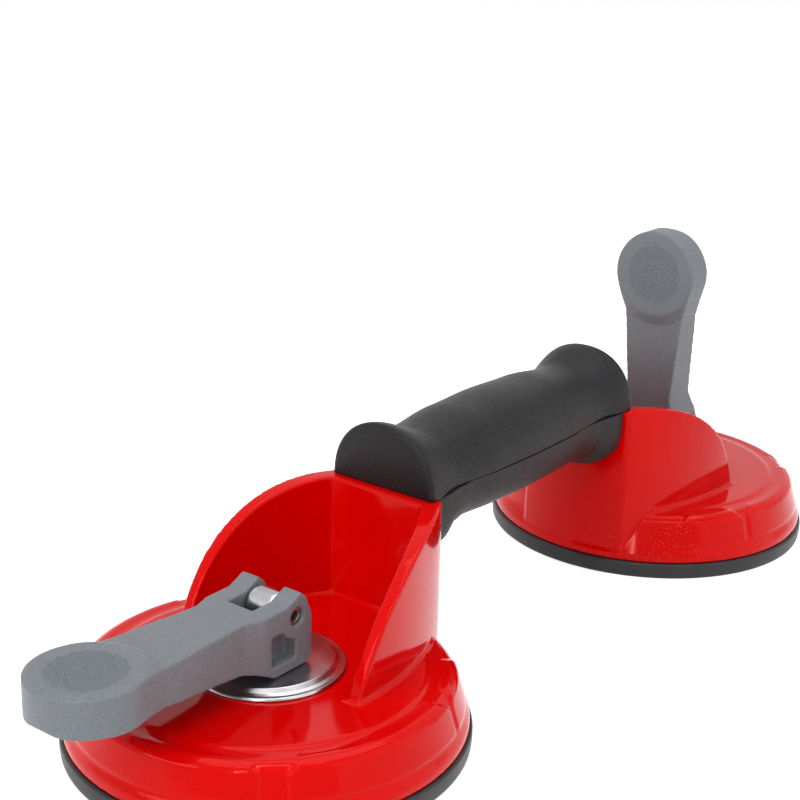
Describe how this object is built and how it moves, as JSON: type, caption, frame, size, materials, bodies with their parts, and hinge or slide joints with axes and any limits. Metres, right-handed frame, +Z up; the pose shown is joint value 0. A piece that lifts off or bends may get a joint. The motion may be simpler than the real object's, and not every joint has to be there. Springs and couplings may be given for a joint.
{
  "type": "double suction lifter",
  "caption": "Two-cup suction lifter with a grip bar and a flip lever on each cup, for carrying tiles, glass and other flat smooth panels.",
  "frame": {"origin": "on the rest plane under the pads, midway between the two cup centres", "axes": "+X along the grip from the near (engaged) cup to the far (released) cup, +Y across the grip, +Z up away from the panel"},
  "size_m": [0.3642, 0.12, 0.1157],
  "materials": {
    "red_casting": "gloss red powder coat on die-cast aluminium",
    "grip_plastic": "fine-textured charcoal moulding",
    "lever_plastic": "satin grey glass-filled moulding",
    "zinc_steel": "bright zinc plated",
    "fastener_steel": "zinc plated steel",
    "bush_plastic": "natural bearing plastic",
    "pad_rubber": "smooth black rubber"
  },
  "bodies": {
    "body": {"cast_body": "red_casting", "grip_upper_shell": "grip_plastic", "grip_lower_shell": "grip_plastic", "grip_screws": "fastener_steel", "near_dish_washer": "zinc_steel", "far_dish_washer": "zinc_steel", "near_guide_bush": "bush_plastic", "far_guide_bush": "bush_plastic", "near_rubber_pad": "pad_rubber", "far_rubber_pad": "pad_rubber"},
    "near_bolt": {"near_eye_bolt": "zinc_steel", "near_pad_insert_plate": "zinc_steel", "near_lock_nut": "fastener_steel"},
    "near_lever": {"near_lever": "lever_plastic", "near_lever_pin": "fastener_steel"},
    "far_bolt": {"far_eye_bolt": "zinc_steel", "far_pad_insert_plate": "zinc_steel", "far_lock_nut": "fastener_steel"},
    "far_lever": {"far_lever": "lever_plastic", "far_lever_pin": "fastener_steel"}
  },
  "joints": [
    {"name": "near_bolt_slide", "type": "slide", "parent": "body", "child": "near_bolt", "axis": [0, 0, 1], "range_m": [-0.0095, 0], "deforming": ["near_rubber_pad"]},
    {"name": "near_lever_hinge", "type": "hinge", "parent": "near_bolt", "child": "near_lever", "pos_m": [-0.11, 0, 0.041], "axis": [0, 1, 0], "range_deg": [0, 90]},
    {"name": "far_bolt_slide", "type": "slide", "parent": "body", "child": "far_bolt", "axis": [0, 0, 1], "range_m": [0, 0.0095], "deforming": ["far_rubber_pad"]},
    {"name": "far_lever_hinge", "type": "hinge", "parent": "far_bolt", "child": "far_lever", "pos_m": [0.11, 0, 0.0315], "axis": [0, 1, 0], "range_deg": [0, 90]}
  ],
  "couplings": [
    {"joint": "near_bolt_slide", "follows": "near_lever_hinge", "m_per_rad": -0.0060479},
    {"joint": "far_bolt_slide", "follows": "far_lever_hinge", "m_per_rad": 0.0060479}
  ]
}
